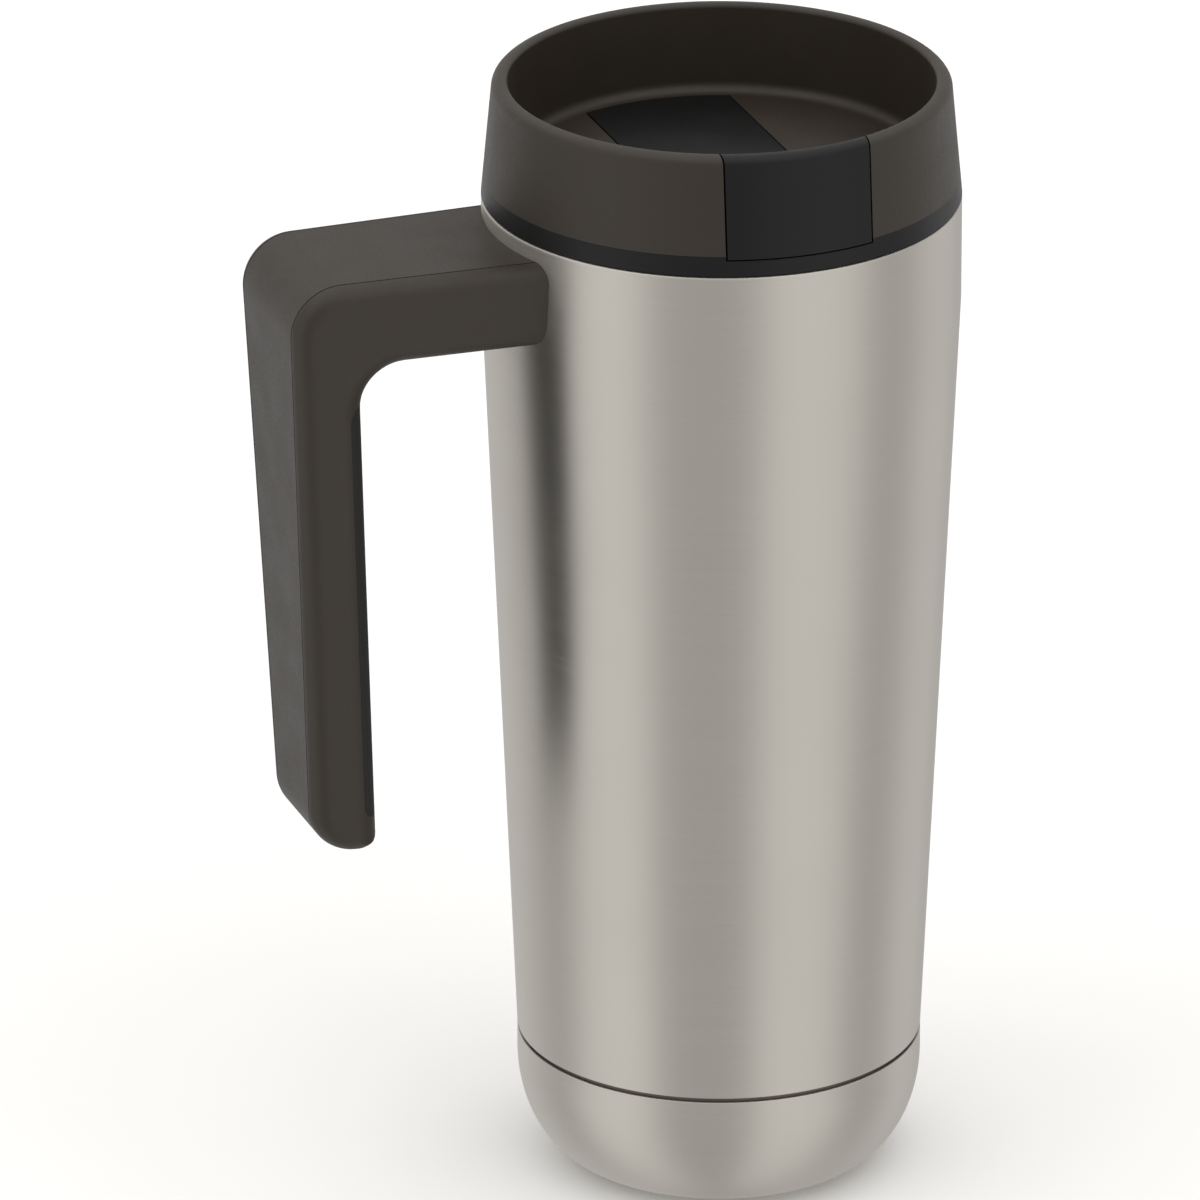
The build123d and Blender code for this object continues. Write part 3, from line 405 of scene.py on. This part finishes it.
# Streaks and etched grains are drawn two to four times as coarse as they are, since they would
# otherwise fall below the size that a picture of the whole mug can carry.
FINISHES: dict[Slot, Finish] = {
    # Long vertical glints and a soft grey sheen, from the grain that runs round the wall.
    Slot.SATIN_STEEL: TurnedSteel(
        "stainless_steel_satin_brushed",
        "BDB8B0",
        roughness=0.42,
        anisotropy=0.7,
        streak_length=30.0,
        streak_pitch=0.3,
        contrast=0.02,
    ),
    # Painted shade: a dull dark brown-grey, rougher than the polished wall, at the bottom of the groove.
    Slot.GROOVE_SHADE_STEEL: TurnedSteel(
        "stainless_steel_turned_painted_groove_shade",
        "6E6760",
        roughness=0.55,
        anisotropy=0.3,
        streak_length=20.0,
        streak_pitch=0.3,
        contrast=0.06,
    ),
    # Brighter and plainer than the outside; faint rings left by drawing and spinning.
    Slot.DRAWN_STEEL: TurnedSteel(
        "stainless_steel_drawn_electropolished",
        "C4C0BA",
        roughness=0.28,
        anisotropy=0.4,
        streak_length=60.0,
        streak_pitch=0.8,
        contrast=0.03,
    ),
    # Flat grey, with dull marks of the rolls.
    Slot.SHEET_STEEL: RolledMetal("stainless_steel_sheet_cold_rolled", "B8B4AE", roughness=0.35),
    # Cold bluish white with small facets.
    Slot.ZINC_STEEL: PlatedSteel("steel_turned_zinc_plated", "B0B4B8", roughness=0.3, crystal=1.2),
    # Warm mirror broken up by creases.
    Slot.COPPER_FOIL: RolledMetal("copper_foil_rolled_wrapped", "C98A62", roughness=0.2, crumple=60.0),
    # Dark, dry and grainy.
    Slot.GETTER_METAL: PressedPowder("zirconium_alloy_powder_pressed", "6A6A68", roughness=0.6),
    # Warm near-black whose etched skin turns grey where it is seen at a slant.
    Slot.BROWN_PLASTIC: Moulded(
        "polypropylene_moulded_etched_espresso",
        "2D261E",
        roughness=0.48,
        ior=1.49,
        grain_size=0.5,
        grain_depth=0.012,
        mottle=0.03,
        specular=0.38,
    ),
    # Cooler and deeper than the brown parts, with a slightly tighter sheen.
    Slot.BLACK_PLASTIC: Moulded(
        "polypropylene_moulded_etched_black",
        "0F0F0F",
        roughness=0.42,
        ior=1.49,
        grain_size=0.4,
        grain_depth=0.01,
        specular=0.25,
    ),
    # Milky, with a soft greasy gloss.
    Slot.CLEAR_SILICONE: Moulded(
        "silicone_moulded_translucent",
        "C8C8C4",
        roughness=0.4,
        ior=1.41,
        grain_size=1.0,
        grain_depth=0.005,
        mottle=0.02,
        transmission=0.4,
    ),
    # Dull and even, with hardly any highlight.
    Slot.PAD_RUBBER: Moulded(
        "thermoplastic_elastomer_moulded_matt",
        "141414",
        roughness=0.7,
        ior=1.5,
        grain_size=0.4,
        grain_depth=0.02,
    ),
}


@dataclass
class Wardrobe:
    """The materials made from the finishes, one for each slot."""

    made: dict[Slot, bpy.types.Material] = field(default_factory=dict)

    def material(self, wanted: Slot) -> bpy.types.Material:
        """Give a slot's material, made on first use.

        Args:
            wanted: the slot.

        Returns:
            The material that every piece with this slot shares.
        """
        if wanted not in self.made:
            self.made[wanted] = FINISHES[wanted].material()
        return self.made[wanted]

    def dress_cad_nodes(self, replaced: set[str]) -> None:
        """Give every carried-over CAD node its finish, by the name of its slot.

        Args:
            replaced: CAD nodes that a new piece stands in for.
        """
        for node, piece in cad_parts.items():
            if node in replaced:
                continue
            for holder in piece.material_slots:
                holder.material = self.material(Slot(holder.material.name.split(".")[0]))
            LOG.info("%s dressed", node)


# ---------------------------------------------------------------- turned pieces


def rounded(corners: list[tuple[float, float, float]], steps: int = 5) -> Outline:
    """Round the corners of a closed outline.

    Args:
        corners: radius from the axis, height and rounding of each corner, in millimetres.
        steps: segments of each rounding.

    Returns:
        The outline, with a short flat kept beside each rounding so that the shading stays even.
    """
    outline = []
    for index, (radius, height, rounding) in enumerate(corners):
        corner = Vector((radius, height))
        if rounding == 0:
            outline.append(tuple(corner))
            continue
        before = (Vector(corners[index - 1][:2]) - corner).normalized()
        after = (Vector(corners[(index + 1) % len(corners)][:2]) - corner).normalized()
        half_angle = before.angle(after) / 2
        reach = rounding / math.tan(half_angle)
        middle = corner + (before + after).normalized() * rounding / math.sin(half_angle)
        start, end = corner + before * reach - middle, corner + after * reach - middle
        outline.append(tuple(middle + start + before * rounding))
        for step in range(steps + 1):
            outline.append(tuple(middle + start.slerp(end, step / steps).normalized() * rounding))
        outline.append(tuple(middle + end + after * rounding))
    return outline


def lathe(name: str, outline: Outline, sides: int = 192) -> bpy.types.Object:
    """Turn a closed outline round the mug's axis.

    Args:
        name: the piece's name.
        outline: radius and height of each point, in millimetres.
        sides: segments round the axis.

    Returns:
        The new piece, shaded smooth across its shallow edges.
    """
    mesh = bpy.data.meshes.new(name)
    made = bmesh.new()
    rings = []
    for side in range(sides):
        angle = 2 * math.pi * side / sides
        toward = Vector((math.cos(angle), math.sin(angle), 0))
        points = [toward * radius * MM + Vector((0, 0, height * MM)) for radius, height in outline]
        rings.append([made.verts.new(point) for point in points])
    for side, ring in enumerate(rings):
        following = rings[(side + 1) % sides]
        for index in range(len(outline)):
            made.faces.new((ring[index - 1], ring[index], following[index], following[index - 1]))
    bmesh.ops.recalc_face_normals(made, faces=made.faces)
    made.to_mesh(mesh)
    made.free()
    mesh.shade_smooth()
    mesh.set_sharp_from_angle(angle=SHARP_ANGLE)
    piece = bpy.data.objects.new(name, mesh)
    bpy.context.scene.collection.objects.link(piece)
    return piece


@dataclass
class SteelBody:
    """Outer wall and base cap, turned finely with their small edge roundings, in millimetres."""

    replaced: ClassVar[set[str]] = {"outer_shell", "base_shell"}

    wardrobe: Wardrobe
    wall: float = 0.5
    spigot_radius: float = 35.35
    groove_radius: float = 35.95
    painted_shade_reach: float = 5.0  # how far the painted shade goes down from the polished wall
    painted_shade_margin: float = 0.1  # how far it goes out from the spigot
    body_bottom: float = 24.4
    taper_top: float = 162.9
    mouth_radius: float = 38.9
    lip_round: float = 0.38
    seam_round: float = 0.12
    cap_edge_round: float = 0.12
    foot_radius: float = 22.95
    foot_round: float = 19.5
    foot_groove: tuple[float, float, float] = (17.95, 19.55, 0.3)  # inner and outer radius, depth
    axis_gap: float = 0.01  # radius left open on the axis, so that no face is a sliver

    def build(self) -> None:
        """Make both pieces and set them in place of the CAD nodes."""
        for node, name, outline in (
            ("outer_shell", "body_wall", self.wall_outline()),
            ("base_shell", "base_cap", self.cap_outline()),
        ):
            piece = lathe(name, outline)
            piece.data.materials.append(self.wardrobe.material(Slot.SATIN_STEEL))
            piece.data.materials.append(self.wardrobe.material(Slot.GROOVE_SHADE_STEEL))
            for face in piece.data.polygons:
                # faces at the bottom of the groove get the darker steel, whose colour is painted shade
                face.material_index = int(self.in_groove(face.center))
            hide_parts(node)
            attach(piece, "mug")
            LOG.info("%s made", name)

    def in_groove(self, place: Vector) -> bool:
        """Tell whether a place lies at the bottom of the groove, on the spigot or just inside the cap,
        where the shade is painted.
        """
        sunk = place.to_2d().length < (self.spigot_radius + self.painted_shade_margin) * MM
        return sunk and place.z < self.body_bottom * MM < place.z + self.painted_shade_reach * MM

    def wall_outline(self) -> Outline:
        """Outline of the tapered wall, from its spigot to the rolled-in lip.

        Returns:
            The closed outline, in millimetres.
        """
        low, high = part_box("outer_shell")
        bottom, lip, radius = low.z / MM, high.z / MM, BODY_RADIUS
        return rounded(
            [
                (self.spigot_radius, bottom, 0),
                (self.spigot_radius, self.body_bottom, 0),
                (self.groove_radius, self.body_bottom, self.seam_round),
                (radius, self.taper_top, 0),
                (radius, lip, self.lip_round),
                (self.mouth_radius, lip, 0),
                (self.mouth_radius, lip - self.wall, 0),
                (radius - self.wall, lip - self.wall, 0),
                (radius - self.wall, self.taper_top, 0),
                (self.groove_radius - self.wall, self.body_bottom + self.wall, 0),
                (self.spigot_radius - self.wall, self.body_bottom + self.wall, 0),
                (self.spigot_radius - self.wall, bottom, 0),
            ]
        )

    def cap_outline(self) -> Outline:
        """Outline of the rounded cap, with the fine groove under its foot.

        Returns:
            The closed outline, in millimetres.
        """
        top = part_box("base_shell")[1].z / MM
        inner, outer, depth = self.foot_groove
        edge = rounded(
            [
                (self.groove_radius, self.foot_round + self.wall, 0),
                (self.groove_radius, top, self.cap_edge_round),
                (self.groove_radius - self.wall, top, self.cap_edge_round),
                (self.groove_radius - self.wall, self.foot_round + self.wall, 0),
            ]
        )
        foot = [(self.axis_gap, 0), (inner, 0), (inner, depth), (outer, depth), (outer, 0)]
        inside = self.bottom_curve(self.wall)[::-1] + [(self.axis_gap, self.wall)]
        return foot + self.bottom_curve(0) + edge + inside

    def bottom_curve(self, skin: float, steps: int = 28) -> Outline:
        """Quarter ellipse from the foot up to the straight part, shrunk inward by a skin.

        Args:
            skin: distance inside the cap's outer face, in millimetres.
            steps: segments of the curve.

        Returns:
            The points from the foot upward.
        """
        across = self.groove_radius - skin - self.foot_radius
        down = self.foot_round - skin
        angles = [math.pi / 2 * step / steps for step in range(steps + 1)]
        return [
            (self.foot_radius + across * math.sin(angle), self.foot_round - down * math.cos(angle))
            for angle in angles
        ]


# ---------------------------------------------------------------- studio


@dataclass(frozen=True)
class SoftBox:
    """A tall soft light beside the mug; angles in degrees, azimuth 0 toward the drinking side."""

    azimuth: float
    half_width: float
    strength: float
    blur: float = 12.0

    def toward(self) -> tuple[float, float, float]:
        """Direction of the light, level with the mug."""
        angle = math.radians(self.azimuth)
        return (math.sin(angle), -math.cos(angle), 0)

    def edges(self) -> tuple[float, float]:
        """Cosines of the angles at which the light starts and is full."""
        full = max(self.half_width - self.blur, 0)
        return math.cos(math.radians(self.half_width + self.blur)), math.cos(math.radians(full))


@dataclass
class Studio:
    """Pale floor, soft light all round and the camera; sizes in millimetres."""

    floor_colour: str = "F2F1EF"
    floor_half: float = 6000.0
    floor_drop: float = 0.1
    camera_distance: float = 2600.0
    camera_elevation: float = 22.34
    camera_azimuth: float = -20.0
    lens: float = 442.0
    target_z: float = 104.0
    aim_right: float = -21.2
    aim_up: float = 0.6
    sensor_width: float = 36.0
    clip: tuple[float, float] = (50.0, 50000.0)
    all_round: float = 0.64
    overhead: float = 0.7
    overhead_edges: tuple[float, float] = (0.45, 0.85)  # rise of a direction where it starts and is full
    boxes: tuple[SoftBox, ...] = (
        SoftBox(-82.0, 22.0, 0.52),
        SoftBox(27.0, 24.0, 0.47),
        SoftBox(105.0, 14.0, 0.3),
        SoftBox(-158.0, 20.0, 0.22),
    )

    def build(self) -> None:
        """Make the floor, the light and the camera."""
        self.make_floor()
        self.make_world()
        self.make_camera()

    def make_floor(self) -> None:
        """A wide plain floor under the mug."""
        half = self.floor_half * MM
        corners = [(-half, -half, 0), (half, -half, 0), (half, half, 0), (-half, half, 0)]
        mesh = bpy.data.meshes.new("floor")
        mesh.from_pydata(corners, [], [range(len(corners))])
        floor = bpy.data.objects.new("floor", mesh)
        bpy.context.scene.collection.objects.link(floor)
        floor.location.z = CAD_BOX[0].z - self.floor_drop * MM
        floor.visible_glossy = False
        made = bpy.data.materials.new("paper_sheet_matt")
        made.use_nodes = True
        made.node_tree.nodes.clear()
        shader = add_node(made.node_tree, "BsdfDiffuse", {"Color": linear(self.floor_colour)})
        add_node(made.node_tree, "OutputMaterial", {"Surface": shader.outputs[0]})
        mesh.materials.append(made)

    def make_world(self) -> None:
        """Even light with tall soft boxes round the mug."""
        world = bpy.data.worlds.new("studio")
        world.use_nodes = True
        tree = world.node_tree
        tree.nodes.clear()
        outward = add_node(tree, "TexCoord").outputs["Generated"]
        flat = add_node(tree, "VectorMath", {0: outward, 1: LEVEL}, operation="MULTIPLY").outputs[0]
        heading = add_node(tree, "VectorMath", {0: flat}, operation="NORMALIZE").outputs[0]
        rise = add_node(tree, "SeparateXYZ", {0: outward}).outputs[2]
        lights = [(rise, self.overhead_edges, self.overhead)]
        for box in self.boxes:
            towards = {0: heading, 1: box.toward()}
            facing = add_node(tree, "VectorMath", towards, operation="DOT_PRODUCT").outputs["Value"]
            lights.append((facing, box.edges(), box.strength))
        total = self.all_round
        for value, (start, full), strength in lights:
            ramp = {0: value, 1: start, 2: full, 3: 0.0, 4: strength}
            light = add_node(tree, "MapRange", ramp, interpolation_type="SMOOTHSTEP").outputs[0]
            total = add_node(tree, "Math", {0: light, 1: total}, operation="ADD").outputs[0]
        background = add_node(tree, "Background", {"Color": (1, 1, 1, 1), "Strength": total})
        add_node(tree, "OutputWorld", {"Surface": background.outputs[0]})
        bpy.context.scene.world = world

    def make_camera(self) -> None:
        """Long lens from slightly above, to the left of the drinking side."""
        camera = bpy.data.objects.new("camera", bpy.data.cameras.new("camera"))
        bpy.context.scene.collection.objects.link(camera)
        around, above = math.radians(self.camera_azimuth), math.radians(self.camera_elevation)
        level = Vector((math.sin(around), -math.cos(around), 0)) * math.cos(above)
        back = level + Vector((0, 0, math.sin(above)))
        right = Vector((math.cos(around), math.sin(around), 0))
        up = back.cross(right)
        target = Vector((0, 0, self.target_z)) * MM
        place = target + back * self.camera_distance * MM
        aim = target + right * self.aim_right * MM + up * self.aim_up * MM
        camera.location = place
        camera.rotation_mode = "QUATERNION"
        camera.rotation_quaternion = (aim - place).to_track_quat("-Z", "Y")
        camera.data.lens = self.lens
        camera.data.sensor_width = self.sensor_width
        camera.data.clip_start, camera.data.clip_end = (distance * MM for distance in self.clip)
        bpy.context.scene.camera = camera
        bpy.context.scene.view_settings.view_transform = "Standard"


def main() -> None:
    """Dress the mug and set up the studio."""
    logging.basicConfig(level=logging.INFO)
    wardrobe = Wardrobe()
    body = SteelBody(wardrobe)
    body.build()
    wardrobe.dress_cad_nodes(body.replaced)
    Studio().build()


if __name__ == "__main__":
    main()
